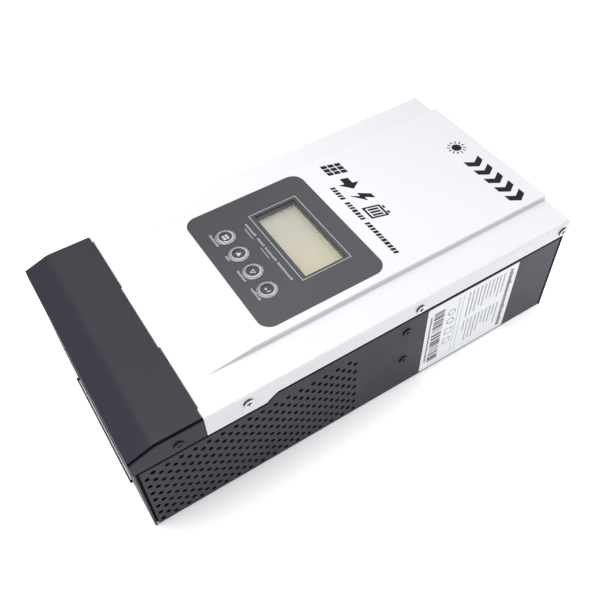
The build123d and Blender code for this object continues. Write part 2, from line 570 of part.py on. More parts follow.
with BuildPart() as switch_bodies:
    with BuildSketch(Plane.XY.offset(BOARD_UI_Z + BOARD_THICK)):
        with Locations(*BUTTON_SPOTS):
            Rectangle(SWITCH_SIZE, SWITCH_SIZE)
    extrude(amount=SWITCH_HEIGHT)
    with BuildSketch(Plane.XY.offset(SWITCH_TOP_Z)):
        with Locations(*BUTTON_SPOTS):
            Circle(PLUNGER_R + 0.1)
    extrude(amount=-1.2 - BUTTON_TRAVEL, mode=Mode.SUBTRACT)
switch_bodies.part.label = "switch_bodies"
export_step(switch_bodies.part, "parts/switch_bodies.step")

# ------------------------------------------------------------------ rating label
LABEL_X = (200.6, 276.4)
LABEL_Z = (2.4, 70.2)
LABEL_THICK = 0.15
with BuildPart() as rating_label:
    with BuildSketch(Plane.XZ.offset(TRAY_WIDTH / 2)):
        with Locations((from_end(sum(LABEL_X) / 2), sum(LABEL_Z) / 2)):
            RectangleRounded(LABEL_X[1] - LABEL_X[0], LABEL_Z[1] - LABEL_Z[0], 1.2)
    extrude(amount=LABEL_THICK)
rating_label.part.label = "rating_label"
export_step(rating_label.part, "parts/rating_label.step")

# ------------------------------------------------------------------ main board and its standoffs
BOARD_X = (13.0, 276.0)
BOARD_WIDTH = 148.0
BOARD_Z = 9.2
BOARD_TOP_Z = BOARD_Z + BOARD_THICK
STANDOFF_X = (46.0, 150.0, 262.0)
STANDOFF_Y = (-68.0, 68.0)
STANDOFF_SPOTS = [(from_end(x), y) for x in STANDOFF_X for y in STANDOFF_Y]
PCB_SCREW_D = 3.0

with BuildPart() as main_board:
    with BuildSketch(Plane.XY.offset(BOARD_Z)):
        with Locations((from_end(sum(BOARD_X) / 2), 0)):
            RectangleRounded(BOARD_X[1] - BOARD_X[0], BOARD_WIDTH, 2.0)
        with Locations(*STANDOFF_SPOTS):
            Circle(PCB_SCREW_D / 2 + 0.15, mode=Mode.SUBTRACT)
    extrude(amount=BOARD_THICK)
main_board.part.label = "main_board"
export_step(main_board.part, "parts/main_board.step")

with BuildPart() as board_standoffs:
    with BuildSketch(Plane.XY.offset(SHEET)):
        with Locations(*STANDOFF_SPOTS):
            RegularPolygon(3.4, 6)
            Circle(PCB_SCREW_D / 2 + FIT_GAP, mode=Mode.SUBTRACT)
    extrude(amount=BOARD_Z - SHEET)
board_standoffs.part.label = "board_standoffs"
export_step(board_standoffs.part, "parts/board_standoffs.step")

pcb_screw = pan_screw(5.6, 1.9, PCB_SCREW_D, 7.5)
with BuildPart(Plane.XY.offset(BOARD_TOP_Z)) as main_board_screws:
    with Locations(*STANDOFF_SPOTS):
        add(pcb_screw)
main_board_screws.part.label = "main_board_screws"
export_step(main_board_screws.part, "parts/main_board_screws.step")

with BuildPart() as insulation_sheet:
    with BuildSketch(Plane.XY.offset(SHEET)):
        with Locations((from_end(sum(BOARD_X) / 2), 0)):
            Rectangle(BOARD_X[1] - BOARD_X[0], BOARD_WIDTH)
        with Locations(*STANDOFF_SPOTS):
            Circle(4.2, mode=Mode.SUBTRACT)
    extrude(amount=0.4)
insulation_sheet.part.label = "insulation_sheet"
export_step(insulation_sheet.part, "parts/insulation_sheet.step")

# ------------------------------------------------------------------ terminal block
POLE_COUNT = 4
POLE_PITCH = 20.0
BARRIER = 2.4
BLOCK_X = (14.0, 42.0)
BLOCK_LENGTH = POLE_COUNT * POLE_PITCH + BARRIER
BLOCK_FLOOR_Z = BOARD_TOP_Z + 10.0
BLOCK_TOP_Z = BOARD_TOP_Z + 25.0
CLAMP_X = (16.0, 36.0)
CLAMP_THICK = 2.0
CLAMP_WIDTH = 15.0
TERMINAL_SCREW_D = 5.0
POLE_Y = [(pole - (POLE_COUNT - 1) / 2) * POLE_PITCH for pole in range(POLE_COUNT)]
CLAMP_MID_X = from_end(sum(CLAMP_X) / 2)
POLE_SPOTS = [(CLAMP_MID_X, y) for y in POLE_Y]

with BuildPart() as terminal_block:
    block(BLOCK_X, (-BLOCK_LENGTH / 2, BLOCK_LENGTH / 2), (BOARD_TOP_Z, BLOCK_FLOOR_Z))
    for wall in range(POLE_COUNT + 1):
        wall_y = (wall - POLE_COUNT / 2) * POLE_PITCH
        block(BLOCK_X, (wall_y - BARRIER / 2, wall_y + BARRIER / 2), (BLOCK_FLOOR_Z, BLOCK_TOP_Z))
    block((BLOCK_X[1] - BARRIER, BLOCK_X[1]), (-BLOCK_LENGTH / 2, BLOCK_LENGTH / 2),
          (BLOCK_FLOOR_Z, BLOCK_TOP_Z))
    with BuildSketch(Plane.XY.offset(BLOCK_FLOOR_Z)):
        with Locations(*POLE_SPOTS):
            Circle(TERMINAL_SCREW_D / 2 + 0.2)
    extrude(amount=-8.0, mode=Mode.SUBTRACT)
terminal_block.part.label = "terminal_block"
export_step(terminal_block.part, "parts/terminal_block.step")

with BuildPart() as terminal_bars:
    with BuildSketch(Plane.XY.offset(BLOCK_FLOOR_Z)):
        with Locations(*POLE_SPOTS):
            Rectangle(CLAMP_X[1] - CLAMP_X[0], CLAMP_WIDTH)
            Circle(TERMINAL_SCREW_D / 2 + 0.1, mode=Mode.SUBTRACT)
    extrude(amount=CLAMP_THICK)
terminal_bars.part.label = "terminal_bars"
export_step(terminal_bars.part, "parts/terminal_bars.step")

with BuildPart() as terminal_clamps:
    with BuildSketch(Plane.XY.offset(BLOCK_FLOOR_Z + CLAMP_THICK)):
        with Locations(*POLE_SPOTS):
            Rectangle(12.0, 12.0)
            Circle(TERMINAL_SCREW_D / 2 + 0.1, mode=Mode.SUBTRACT)
    extrude(amount=1.2)
terminal_clamps.part.label = "terminal_clamps"
export_step(terminal_clamps.part, "parts/terminal_clamps.step")

pole_screw = pan_screw(9.5, 3.4, TERMINAL_SCREW_D, 10.0)
with BuildPart(Plane.XY.offset(BLOCK_FLOOR_Z + CLAMP_THICK + 1.2)) as terminal_screws:
    with Locations(*POLE_SPOTS):
        add(pole_screw)
terminal_screws.part.label = "terminal_screws"
export_step(terminal_screws.part, "parts/terminal_screws.step")

# ------------------------------------------------------------------ power parts on the board
CORE_SPOTS = [(from_end(96.0), y) for y in (-38.0, 38.0)]
CORE_R = 24.0
CORE_BORE_R = 13.0
CORE_HEIGHT = 18.0
CORE_Z = BOARD_TOP_Z + 3.0
TURN_COUNT = 18
TURN_WIRE = 2.6

with BuildPart() as inductor_cores:
    with BuildSketch(Plane.XY.offset(CORE_Z)):
        with Locations(*CORE_SPOTS):
            Circle(CORE_R)
            Circle(CORE_BORE_R, mode=Mode.SUBTRACT)
    extrude(amount=CORE_HEIGHT)
    chamfer(inductor_cores.edges().filter_by(GeomType.CIRCLE), 1.5)
inductor_cores.part.label = "inductor_cores"
export_step(inductor_cores.part, "parts/inductor_cores.step")

with BuildPart() as wire_turn:
    with BuildSketch(Plane.XZ):
        with Locations(((CORE_R + CORE_BORE_R) / 2, CORE_HEIGHT / 2)):
            RectangleRounded(CORE_R - CORE_BORE_R + 2 * TURN_WIRE, CORE_HEIGHT + 2 * TURN_WIRE, 2.0)
            Rectangle(CORE_R - CORE_BORE_R + 0.4, CORE_HEIGHT + 0.2, mode=Mode.SUBTRACT)
    extrude(amount=TURN_WIRE / 2, both=True)

with BuildPart(Plane.XY.offset(CORE_Z)) as inductor_windings:
    with Locations(*CORE_SPOTS):
        with PolarLocations(0, TURN_COUNT):
            add(wire_turn.part)
inductor_windings.part.label = "inductor_windings"
export_step(inductor_windings.part, "parts/inductor_windings.step")


def can_group(spots, radius, height):
    """Electrolytic cans standing on the main board, with a rolled groove near the foot."""
    with BuildPart() as cans:
        with BuildSketch(Plane.XY.offset(BOARD_TOP_Z)):
            with Locations(*spots):
                Circle(radius)
        extrude(amount=height)
        fillet(cans.edges().group_by(Axis.Z)[-1], 1.0)
        with BuildSketch(Plane.XY.offset(BOARD_TOP_Z + 3.0)):
            with Locations(*spots):
                Circle(radius)
                Circle(radius - 0.7, mode=Mode.SUBTRACT)
        extrude(amount=1.4, mode=Mode.SUBTRACT)
    return cans


input_capacitors = can_group([(from_end(x), y) for x in (140.0, 162.0) for y in (-56.0, -32.0, -8.0)],
                             9.0, 36.0)
input_capacitors.part.label = "input_capacitors"
export_step(input_capacitors.part, "parts/input_capacitors.step")

output_capacitors = can_group([(from_end(x), y) for x in (138.0, 156.0) for y in (16.0, 34.0, 52.0)],
                              6.5, 26.0)
output_capacitors.part.label = "output_capacitors"
export_step(output_capacitors.part, "parts/output_capacitors.step")

with BuildPart() as relay:
    block((52.0, 80.0), (-73.0, -57.0), (BOARD_TOP_Z, BOARD_TOP_Z + 20.0))
    fillet(relay.edges().filter_by(Axis.Z), 1.0)
relay.part.label = "relay"
export_step(relay.part, "parts/relay.step")

with BuildPart() as fuses:
    with BuildSketch(Plane.XY.offset(BOARD_TOP_Z)):
        with Locations(*[(from_end(60.0), y) for y in (-6.0, 2.0, 10.0)]):
            Rectangle(19.0, 5.0)
    extrude(amount=17.0)
    fillet(fuses.edges().group_by(Axis.Z)[-1], 0.8)
fuses.part.label = "fuses"
export_step(fuses.part, "parts/fuses.step")

with BuildPart() as current_shunt:
    with BuildSketch(Plane.XZ):
        with Locations((from_end(62.0), BOARD_TOP_Z + 4.0)):
            Rectangle(22.0, 8.0)
        with Locations((from_end(62.0), BOARD_TOP_Z + 3.2)):
            Rectangle(18.8, 6.4, mode=Mode.SUBTRACT)
    extrude(amount=-26.0)
    block((50.0, 74.0), (0, 20.0), (BOARD_TOP_Z, BOARD_TOP_Z + 10.0), mode=Mode.SUBTRACT)
current_shunt.part.label = "current_shunt"
export_step(current_shunt.part, "parts/current_shunt.step")

# ------------------------------------------------------------------ heat sinks and transistors
SINK_X = (196.0, 290.0)
SINK_Z = (13.0, 66.0)
SINK_PLATE = 6.0
SINK_INNER_Y = 12.0
SINK_OUTER_Y = 66.0
FIN_COUNT = 9
FIN_THICK = 1.8
FIN_PITCH = (SINK_Z[1] - SINK_Z[0] - FIN_THICK) / (FIN_COUNT - 1)
DEVICE_X = [208.0 + 22.0 * place for place in range(4)]
DEVICE_Z = 34.0

for side_name, side in (("near", -1), ("far", 1)):
    with BuildPart() as heat_sink:
        with BuildSketch(Plane.YZ.offset(from_end(SINK_X[0]))):
            with Locations((side * (SINK_INNER_Y + SINK_PLATE / 2), sum(SINK_Z) / 2)):
                Rectangle(SINK_PLATE, SINK_Z[1] - SINK_Z[0])
            with Locations((side * (SINK_INNER_Y + SINK_OUTER_Y) / 2, sum(SINK_Z) / 2)):
                with GridLocations(0, FIN_PITCH, 1, FIN_COUNT):
                    Rectangle(SINK_OUTER_Y - SINK_INNER_Y, FIN_THICK)
        extrude(amount=SINK_X[1] - SINK_X[0])
    heat_sink.part.label = f"heat_sink_{side_name}"
    export_step(heat_sink.part, f"parts/heat_sink_{side_name}.step")

with BuildPart() as power_transistors:
    with BuildSketch(Plane.XZ.offset(SINK_INNER_Y - 5.0 - FIT_GAP)):
        with Locations(*[(from_end(x), DEVICE_Z) for x in DEVICE_X]):
            Rectangle(15.6, 20.0)
    extrude(amount=5.0)
    with BuildSketch(Plane.XZ.offset(SINK_INNER_Y - 3.0)):
        with Locations(*[(from_end(x + lead), (DEVICE_Z - 10.0 + BOARD_TOP_Z) / 2)
                         for x in DEVICE_X for lead in (-5.4, 0, 5.4)]):
            Rectangle(1.2, DEVICE_Z - 10.0 - BOARD_TOP_Z)
    extrude(amount=0.6)
    mirror(about=Plane.XZ)
power_transistors.part.label = "power_transistors"
export_step(power_transistors.part, "parts/power_transistors.step")

with BuildPart() as transistor_clamps:
    block((DEVICE_X[0] - 12.0, DEVICE_X[-1] + 12.0), (-SINK_INNER_Y + 5.2, -SINK_INNER_Y + 6.8),
          (DEVICE_Z + 1.0, DEVICE_Z + 7.0))
    mirror(about=Plane.XZ)
transistor_clamps.part.label = "transistor_clamps"
export_step(transistor_clamps.part, "parts/transistor_clamps.step")

# ------------------------------------------------------------------ air baffle between the walls
BAFFLE_X = 191.5
BAFFLE_THICK = 1.2
BAFFLE_Z = (BOARD_TOP_Z + 0.6, 74.0)
BAFFLE_FLANGE = 14.0
with BuildPart() as air_baffle:
    block((BAFFLE_X - BAFFLE_FLANGE, BAFFLE_X),
          (-INNER_WIDTH / 2 + FIT_GAP, INNER_WIDTH / 2 - FIT_GAP), BAFFLE_Z)
    block((BAFFLE_X - BAFFLE_FLANGE, BAFFLE_X - BAFFLE_THICK),
          (-INNER_WIDTH / 2 + FIT_GAP + BAFFLE_THICK, INNER_WIDTH / 2 - FIT_GAP - BAFFLE_THICK),
          BAFFLE_Z, mode=Mode.SUBTRACT)
    with BuildSketch(Plane.YZ.offset(from_end(BAFFLE_X))):
        with Locations(*[(y, sum(SINK_Z) / 2) for y in (-FAN_Y - 4.0, FAN_Y + 4.0)]):
            Rectangle(SINK_OUTER_Y - SINK_INNER_Y - SINK_PLATE, SINK_Z[1] - SINK_Z[0] - 4.0)
    extrude(amount=-BAFFLE_THICK, mode=Mode.SUBTRACT)
    with BuildSketch(Plane.XZ):
        with Locations(*[(from_end(BRACKET_SCREW_X), z) for z in BRACKET_SCREW_Z]):
            Circle(SCREW_D / 2 + FIT_GAP)
    extrude(amount=COVER_WIDTH, both=True, mode=Mode.SUBTRACT)
air_baffle.part.label = "air_baffle"
export_step(air_baffle.part, "parts/air_baffle.step")

# ------------------------------------------------------------------ fans
FAN_DEPTH = 15.0
FAN_BACK_X = FAN_PANEL_X - SHEET - FIT_GAP        # frame lies on the end panel
FAN_BORE_R = 28.6
FAN_HUB_R = 15.0
FAN_BLADE_R = 27.6
BLADE_COUNT = 7
BEARING_R = 4.0
SHAFT_R = 1.5
MOTOR_PLATE = 2.4

# a fan in its own frame: Z points out of the housing, z = 0 is the outer face
with BuildPart() as fan_frame:
    with BuildSketch(Plane.XY):
        RectangleRounded(FAN_SIZE, FAN_SIZE, 4.0)
        Circle(FAN_BORE_R, mode=Mode.SUBTRACT)
        with GridLocations(FAN_HOLE_PITCH, FAN_HOLE_PITCH, 2, 2):
            Circle(FAN_SCREW_R, mode=Mode.SUBTRACT)
    extrude(amount=-FAN_DEPTH)
    with BuildSketch(Plane.XY):
        Circle(FAN_HUB_R)
        with PolarLocations(0, 4, start_angle=20):
            with Locations(((FAN_HUB_R + FAN_BORE_R) / 2, 0)):
                Rectangle(FAN_BORE_R - FAN_HUB_R + 1.6, 3.0)
    extrude(amount=-MOTOR_PLATE)
    with BuildSketch(Plane.XY):
        Circle(BEARING_R)
    extrude(amount=-11.0)
    with BuildSketch(Plane.XY.offset(-MOTOR_PLATE)):
        Circle(SHAFT_R + FIT_GAP)
    extrude(amount=-11.0, mode=Mode.SUBTRACT)

with BuildPart() as fan_blade:
    with BuildSketch(Plane.YZ.offset(FAN_HUB_R - 1.0)):
        with BuildLine():
            ThreePointArc((-6.5, -13.2), (1.4, -9.8), (6.5, -3.8))
            ThreePointArc((6.5, -3.8), (0.6, -8.6), (-6.5, -13.2))
        make_face()
    extrude(amount=FAN_BLADE_R - FAN_HUB_R)

with BuildPart() as fan_rotor:
    with BuildSketch(Plane.XY.offset(-14.2)):
        Circle(FAN_HUB_R)
    extrude(amount=11.2)
    with BuildSketch(Plane.XY.offset(-13.0)):
        Circle(FAN_HUB_R - 1.4)
    extrude(amount=12.0, mode=Mode.SUBTRACT)
    with BuildSketch(Plane.XY.offset(-14.2)):
        Circle(SHAFT_R)
    extrude(amount=10.6)
    with PolarLocations(0, BLADE_COUNT):
        add(fan_blade.part)

for side_name, (fan_y, fan_z) in (("near", FAN_CENTRES[0]), ("far", FAN_CENTRES[1])):
    fan_plane = Plane(origin=(from_end(FAN_BACK_X), fan_y, fan_z), x_dir=(0, 1, 0), z_dir=(1, 0, 0))
    with BuildPart(fan_plane) as placed_frame:
        add(fan_frame.part)
    placed_frame.part.label = f"fan_frame_{side_name}"
    export_step(placed_frame.part, f"parts/fan_frame_{side_name}.step")
    with BuildPart(fan_plane) as placed_rotor:
        add(fan_rotor.part)
    placed_rotor.part.label = f"fan_rotor_{side_name}"
    export_step(placed_rotor.part, f"parts/fan_rotor_{side_name}.step")

fan_screw = pan_screw(6.8, TRAY_LENGTH + FAN_HEAD_REACH - FAN_PANEL_X, 3.8, 12.0)
with BuildPart(Plane.YZ.offset(from_end(FAN_PANEL_X))) as fan_screws:
    with Locations(*FAN_CENTRES):
        with GridLocations(FAN_HOLE_PITCH, FAN_HOLE_PITCH, 2, 2):
            add(fan_screw)
fan_screws.part.label = "fan_screws"
export_step(fan_screws.part, "parts/fan_screws.step")

# ------------------------------------------------------------------ ribbon between the boards
RIBBON_THICK = 0.8
RIBBON_WIDTH = 16.0
HEADER_HEIGHT = 5.0
RIBBON_X = 176.0
HEADER_Y = 2.0
RIBBON_END = RIBBON_THICK / 2 + FIT_GAP
with BuildPart() as ribbon_headers:
    block((RIBBON_X - 3.0, RIBBON_X + 3.0), (HEADER_Y - 10.0, HEADER_Y + 10.0),
          (BOARD_TOP_Z, BOARD_TOP_Z + HEADER_HEIGHT))
    block((RIBBON_X - 3.0, RIBBON_X + 3.0), (HEADER_Y - 10.0, HEADER_Y + 10.0),
          (BOARD_UI_Z - HEADER_HEIGHT, BOARD_UI_Z))
ribbon_headers.part.label = "ribbon_headers"
export_step(ribbon_headers.part, "parts/ribbon_headers.step")

with BuildPart() as ribbon_cable:
    with BuildSketch(Plane.XZ.offset(-HEADER_Y)):
        with BuildLine():
            FilletPolyline((from_end(RIBBON_X), BOARD_TOP_Z + HEADER_HEIGHT + RIBBON_END),
                           (from_end(RIBBON_X), 32.0),
                           (from_end(RIBBON_X + 7.0), 45.0),
                           (from_end(RIBBON_X), 58.0),
                           (from_end(RIBBON_X), BOARD_UI_Z - HEADER_HEIGHT - RIBBON_END),
                           radius=9.0)
            offset(amount=RIBBON_THICK / 2)
        make_face()
    extrude(amount=RIBBON_WIDTH / 2, both=True)
ribbon_cable.part.label = "ribbon_cable"
export_step(ribbon_cable.part, "parts/ribbon_cable.step")
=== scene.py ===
import json
import math
import random

import bmesh
import bpy
from mathutils import Matrix, Vector


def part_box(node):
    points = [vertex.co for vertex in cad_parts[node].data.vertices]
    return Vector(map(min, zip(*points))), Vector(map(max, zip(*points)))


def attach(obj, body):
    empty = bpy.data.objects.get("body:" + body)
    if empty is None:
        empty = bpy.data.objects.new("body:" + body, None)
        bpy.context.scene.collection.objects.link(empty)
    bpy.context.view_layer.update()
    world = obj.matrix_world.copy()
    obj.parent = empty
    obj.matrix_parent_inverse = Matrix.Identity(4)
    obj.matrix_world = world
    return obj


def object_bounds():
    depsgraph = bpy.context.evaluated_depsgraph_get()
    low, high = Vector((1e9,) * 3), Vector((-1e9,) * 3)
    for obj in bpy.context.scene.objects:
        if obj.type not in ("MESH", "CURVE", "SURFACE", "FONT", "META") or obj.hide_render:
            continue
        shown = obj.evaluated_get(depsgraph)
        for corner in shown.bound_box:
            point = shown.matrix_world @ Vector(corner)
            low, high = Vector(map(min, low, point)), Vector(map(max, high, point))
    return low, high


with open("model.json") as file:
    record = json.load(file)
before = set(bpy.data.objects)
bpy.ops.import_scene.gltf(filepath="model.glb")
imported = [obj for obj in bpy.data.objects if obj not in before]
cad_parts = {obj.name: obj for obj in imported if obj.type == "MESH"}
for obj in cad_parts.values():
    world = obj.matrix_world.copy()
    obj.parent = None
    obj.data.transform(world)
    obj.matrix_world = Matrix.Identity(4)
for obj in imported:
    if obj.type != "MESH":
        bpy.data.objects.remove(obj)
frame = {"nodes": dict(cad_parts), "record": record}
cad_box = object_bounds()

MM = 0.001
INK = 0.02 * MM                     # how far a print stands on its surface
HOUSING = "housing"
NOISE_RANGE = (0.3, 0.7)            # where most of a noise texture's values lie
ALONG_X = (0.08, 1.0, 1.0)          # stretches noise into streaks along X
RIBBON_RIDGES = (1.0, 1.0, 0.02)    # stretches noise into the ribbon's ridges
BUTTON_REACH = 8.0                  # the radius, in millimetres, that a button's rings are drawn over

# the front cover's side flange, whose lower edge steps up; from the cover's terminal end
STEP_START = 47.0 * MM
STEP_END = 53.3 * MM
STEP_RISE = 5.5 * MM


# ------------------------------------------------------------------ materials
def new_material(name):
    """An empty principled material, with its node tree and shader."""
    made = bpy.data.materials.new(name)
    made.use_nodes = True
    tree = made.node_tree
    return made, tree, tree.nodes["Principled BSDF"]


def object_place(tree):
    """The point's place in the frame, in metres."""
    return tree.nodes.new("ShaderNodeTexCoord").outputs["Object"]


def parts_of(tree, vector):
    """The X, Y and Z outputs of a vector output."""
    split = tree.nodes.new("ShaderNodeSeparateXYZ")
    tree.links.new(vector, split.inputs["Vector"])
    return split.outputs


def rescaled(tree, value, old, new=(0.0, 1.0)):
    """Value mapped from the range old to the range new, and held inside it."""
    made = tree.nodes.new("ShaderNodeMapRange")
    for name, number in zip(("From Min", "From Max", "To Min", "To Max"), (*old, *new)):
        made.inputs[name].default_value = number
    tree.links.new(value, made.inputs["Value"])
    return made.outputs["Result"]


def with_vector(tree, operation, vector, constant=(0.0, 0.0, 0.0)):
    """The outputs of one vector arithmetic step with a constant vector."""
    made = tree.nodes.new("ShaderNodeVectorMath")
    made.operation = operation
    made.inputs[1].default_value = constant
    tree.links.new(vector, made.inputs[0])
    return made.outputs


def noise(tree, place, size, detail=3.0, stretch=None):
    """Noise from 0 to 1 whose features are about that size; stretch scales the axes first."""
    if stretch:
        mapping = tree.nodes.new("ShaderNodeMapping")
        mapping.inputs["Scale"].default_value = stretch
        tree.links.new(place, mapping.inputs["Vector"])
        place = mapping.outputs["Vector"]
    made = tree.nodes.new("ShaderNodeTexNoise")
    made.inputs["Scale"].default_value = 1.0 / size
    made.inputs["Detail"].default_value = detail
    tree.links.new(place, made.inputs["Vector"])
    return made.outputs["Fac"]


def ramp(tree, value, stops):
    """A colour ramp over value; stops are (position, colour)."""
    made = tree.nodes.new("ShaderNodeValToRGB")
    elements = made.color_ramp.elements
    while len(elements) < len(stops):
        elements.new(0.5)
    for element, (position, colour) in zip(elements, stops):
        element.position = position
        element.color = (*colour, 1.0)
    tree.links.new(value, made.inputs["Fac"])
    return made.outputs["Color"]


def spread(tree, value, low, high):
    """Noise, which mostly stays in the middle of its range, spread from low to high."""
    return rescaled(tree, value, NOISE_RANGE, (low, high))


def relief(tree, shader, value, height):
    """Bump of that height in metres from value, on top of any bump the shader already has."""
    made = tree.nodes.new("ShaderNodeBump")
    made.inputs["Distance"].default_value = height
    tree.links.new(value, made.inputs["Height"])
    if shader.inputs["Normal"].is_linked:
        tree.links.new(shader.inputs["Normal"].links[0].from_socket, made.inputs["Normal"])
    tree.links.new(made.outputs["Normal"], shader.inputs["Normal"])


def shaded(tree, colour, shade):
    """Colour times shade, both colour outputs."""
    made = tree.nodes.new("ShaderNodeVectorMath")
    made.operation = "MULTIPLY"
    tree.links.new(colour, made.inputs[0])
    tree.links.new(shade, made.inputs[1])
    return made.outputs["Vector"]


def crevice(tree, reach, dark):
    """White on open surfaces, dark where another surface is closer than the reach."""
    made = tree.nodes.new("ShaderNodeAmbientOcclusion")
    made.samples = 8
    made.inputs["Distance"].default_value = reach
    return ramp(tree, made.outputs["AO"], ((0.6, grey(dark)), (0.93, grey(1.0))))


def along(tree, direction, start, end, share):
    """White up to start and that share of white from end on, in metres along a direction."""
    distance = with_vector(tree, "DOT_PRODUCT", object_place(tree), direction)["Value"]
    reach = rescaled(tree, distance, (start, end))
    return ramp(tree, reach, ((0.0, grey(1.0)), (1.0, grey(share))))


def surface_normal(tree):
    """The direction that the surface faces, in the frame."""
    return tree.nodes.new("ShaderNodeTexCoord").outputs["Normal"]


def brightness_of(tree, colour):
    """A colour output as one value."""
    made = tree.nodes.new("ShaderNodeRGBToBW")
    tree.links.new(colour, made.inputs["Color"])
    return made.outputs["Val"]


def crystals(tree, place, scale):
    """One random value for each cell of a Voronoi pattern."""
    cells = tree.nodes.new("ShaderNodeTexVoronoi")
    cells.inputs["Scale"].default_value = scale
    tree.links.new(place, cells.inputs["Vector"])
    return brightness_of(tree, cells.outputs["Color"])


def reckon(tree, operation, first, second=0.0):
    """One arithmetic step; first is an output, second an output or a number."""
    made = tree.nodes.new("ShaderNodeMath")
    made.operation = operation
    tree.links.new(first, made.inputs[0])
    if isinstance(second, float):
        made.inputs[1].default_value = second
    else:
        tree.links.new(second, made.inputs[1])
    return made.outputs["Value"]


def grey(level):
    """A colour whose three channels are equal."""
    return (level, level, level)


def tinted(colour, share):
    """Colour, lighter or darker by that share."""
    return tuple(min(1.0, channel * (1 + share)) for channel in colour)


def finish(name, colour, roughness, metallic=0.0, mottle=0.05, mottle_size=0.012, grain=0.0005,
           height=0.000008, unevenness=0.05, stretch=None, specular=0.5, coat=0.0, far_share=1.0):
    """A surface whose colour, roughness and relief vary, from soft mottling to a fine grain.

    The far side's colour is multiplied by far_share.
    """
    made, tree, shader = new_material(name)
    place = object_place(tree)
    broad = noise(tree, place, mottle_size, 4.0, stretch)
    fine = noise(tree, place, grain, 3.0, stretch)
    low, high = NOISE_RANGE
    varied = ramp(tree, broad, ((low, tinted(colour, -mottle)), (high, tinted(colour, mottle))))
    if far_share != 1.0:
        varied = shaded(tree, varied, along(tree, (-0.5, 1, 0), -0.02, 0.08, far_share))
    tree.links.new(varied, shader.inputs["Base Color"])
    tree.links.new(spread(tree, fine, roughness - unevenness, roughness + unevenness),
                   shader.inputs["Roughness"])
    relief(tree, shader, fine, height)
    shader.inputs["Metallic"].default_value = metallic
    shader.inputs["Specular IOR Level"].default_value = specular
    shader.inputs["Coat Weight"].default_value = coat
    return made


def silver_white_paint():
    """Silver-white paint with a fine flake in it."""
    made, tree, shader = new_material("silver_white_paint")
    place = object_place(tree)
    flake = crystals(tree, place, 1.0 / (0.35 * MM))
    paint = (0.60, 0.60, 0.612)
    colour = ramp(tree, flake, ((0.1, tinted(paint, -0.05)), (0.9, tinted(paint, 0.03))))
    towards_far_corner = along(tree, (1, 1, 0), 0.06, 0.235, 0.9)
    tree.links.new(shaded(tree, colour, towards_far_corner), shader.inputs["Base Color"])
    tree.links.new(spread(tree, noise(tree, place, 0.02), 0.34, 0.44), shader.inputs["Roughness"])
    relief(tree, shader, noise(tree, place, 0.5 * MM), 0.006 * MM)
    shader.inputs["Metallic"].default_value = 0.08
    return made


def flange_shadow(tree):
    """Black on the tray's walls just below the covers' flanges, whose lower edge steps up once."""
    cover_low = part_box("front_cover")[0]
    place = parts_of(tree, object_place(tree))
    edge = rescaled(tree, place["X"], (cover_low.x + STEP_START, cover_low.x + STEP_END),
                    (cover_low.z, cover_low.z + STEP_RISE))
    below = reckon(tree, "SUBTRACT", edge, place["Z"])
    centimetres = reckon(tree, "MULTIPLY", below, 1.0 / (10 * MM))
    return ramp(tree, centimetres, ((0.36, grey(0.02)), (0.47, grey(1.0))))


def black_powder_coat(name, coat=(0.021, 0.0203, 0.0262), bent_sides=False, walls=False, lighter=1.0,
                      gloss=0.2):
    """Charcoal powder coat: a fine sand grain over broad unevenness, black in narrow gaps.

    It is multiplied by lighter towards the fan end. The tray's walls are black under the covers'
    flanges and at the fan end. With bent_sides, it is darker on the bends along both sides, and
    darker and bluer on the slope.
    """
    made, tree, shader = new_material(name)
    place = object_place(tree)
    sand = noise(tree, place, 0.45 * MM, 4.0)
    colour = ramp(tree, sand, ((0.3, tinted(coat, -0.25)), (0.55, coat), (0.75, tinted(coat, 0.6))))
    colour = shaded(tree, colour, along(tree, (1, 0, 0), 0.0, 0.157, lighter))
    shade = crevice(tree, 2.4 * MM, 0.02)
    if walls:
        fan_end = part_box("base_tray")[1].x
        end_edge = along(tree, (1, 0, 0), fan_end - 1.6 * MM, fan_end - 0.9 * MM, 0.03)
        shade = shaded(tree, shaded(tree, shade, flange_shadow(tree)), end_edge)
    if bent_sides:
        normal = parts_of(tree, surface_normal(tree))
        sideways = reckon(tree, "ABSOLUTE", normal["Y"])
        bend = reckon(tree, "MULTIPLY", sideways, normal["Z"])
        slope = reckon(tree, "MULTIPLY", normal["X"], -1.0)
        shade = shaded(tree, shade, ramp(tree, bend, ((0.36, grey(1.0)), (0.46, grey(0.12)))))
        for facing, stops in ((sideways, ((0.8, grey(1.0)), (0.98, grey(0.84)))),
                              (slope, ((0.02, grey(1.0)), (0.3, (0.58, 0.64, 0.82))))):
            colour = shaded(tree, colour, ramp(tree, facing, stops))
    tree.links.new(shaded(tree, colour, shade), shader.inputs["Base Color"])
    tree.links.new(spread(tree, noise(tree, place, 0.03), 0.44, 0.52), shader.inputs["Roughness"])
    relief(tree, shader, sand, 0.02 * MM)
    relief(tree, shader, noise(tree, place, 4 * MM), 0.015 * MM)
    tree.links.new(reckon(tree, "MULTIPLY", brightness_of(tree, shade), gloss),
                   shader.inputs["Specular IOR Level"])
    return made


def clear_lens():
    """A clear window with a faint haze."""
    made, tree, shader = new_material("clear_lens")
    place = object_place(tree)
    tree.links.new(spread(tree, noise(tree, place, 8 * MM), 0.04, 0.1), shader.inputs["Roughness"])
    tree.links.new(spread(tree, noise(tree, place, 5 * MM), 0.03, 0.05), shader.inputs["Alpha"])
    shader.inputs["Base Color"].default_value = (0.5, 0.52, 0.5, 1.0)
    return made


